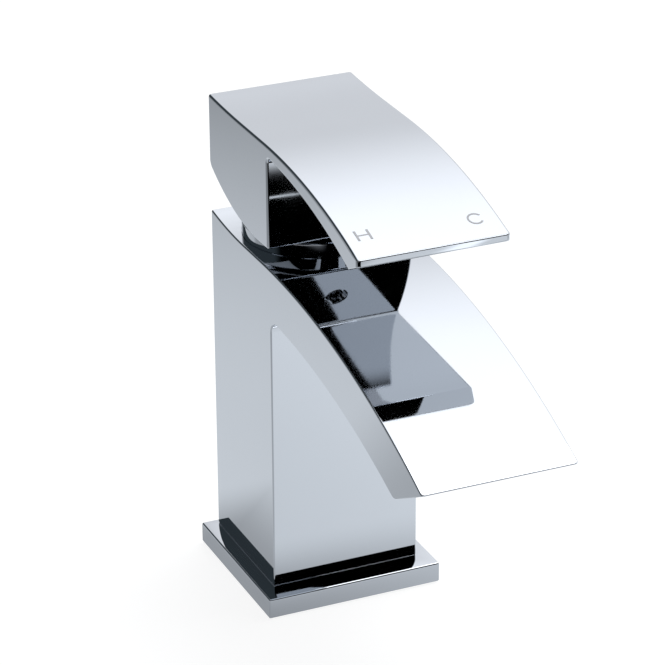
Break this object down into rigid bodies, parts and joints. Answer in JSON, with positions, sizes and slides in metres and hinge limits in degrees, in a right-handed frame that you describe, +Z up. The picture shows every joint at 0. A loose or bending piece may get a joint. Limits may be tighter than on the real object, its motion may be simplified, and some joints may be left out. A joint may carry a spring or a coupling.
{
  "type": "basin mixer tap",
  "caption": "Single-lever basin mixer tap with a flat downward-curving spout and a curved flat lever on a square base plate.",
  "frame": {"origin": "on the deck, the underside of the base gasket, under the upright axis that the lever swings about", "axes": "+Z up along the swing axis, the spout points to -Y, +X is to the right seen from behind the tap"},
  "size_m": [0.05, 0.1325, 0.1322],
  "materials": {
    "chrome": "polished chrome plating on cast brass",
    "brass": "machined brass",
    "screw_steel": "plain stainless steel",
    "rubber_dark": "matte black rubber",
    "rubber_black": "matte black rubber",
    "housing_plastic": "moulded white plastic",
    "carrier_plastic": "moulded grey plastic",
    "rotor_plastic": "moulded plastic",
    "ceramic": "lapped ceramic, gloss"
  },
  "bodies": {
    "base": {"body_casting": "chrome", "base_plate": "chrome", "base_gasket": "rubber_dark", "joint_seal": "rubber_black", "plate_screws": "screw_steel", "cartridge_housing": "housing_plastic", "base_seal": "rubber_black", "disc_seal": "rubber_black", "fixed_disc": "ceramic", "housing_cap": "carrier_plastic", "retaining_nut": "brass", "collar_ring": "rubber_black", "collar": "chrome", "outlet_insert": "carrier_plastic", "outlet_seal": "rubber_black"},
    "rotor": {"rotor": "rotor_plastic", "rotor_ring": "rubber_black", "pivot_pin": "screw_steel"},
    "lever": {"lever": "chrome", "stem": "brass", "stem_bush": "housing_plastic", "grub_screw": "screw_steel"},
    "disc": {"moving_disc": "ceramic", "disc_carrier": "carrier_plastic"}
  },
  "joints": [
    {"name": "swing", "type": "hinge", "parent": "base", "child": "rotor", "pos_m": [0, 0, 0.093], "axis": [0, 0, 1], "range_deg": [-45, 45]},
    {"name": "lift", "type": "hinge", "parent": "rotor", "child": "lever", "pos_m": [0, 0, 0.093], "axis": [-1, 0, 0], "range_deg": [0, 20]},
    {"name": "disc_slide", "type": "slide", "parent": "rotor", "child": "disc", "axis": [0, -1, 0], "range_m": [0, 0.00343]}
  ],
  "couplings": [
    {"joint": "disc_slide", "follows": "lift", "m_per_rad": 0.0098}
  ]
}
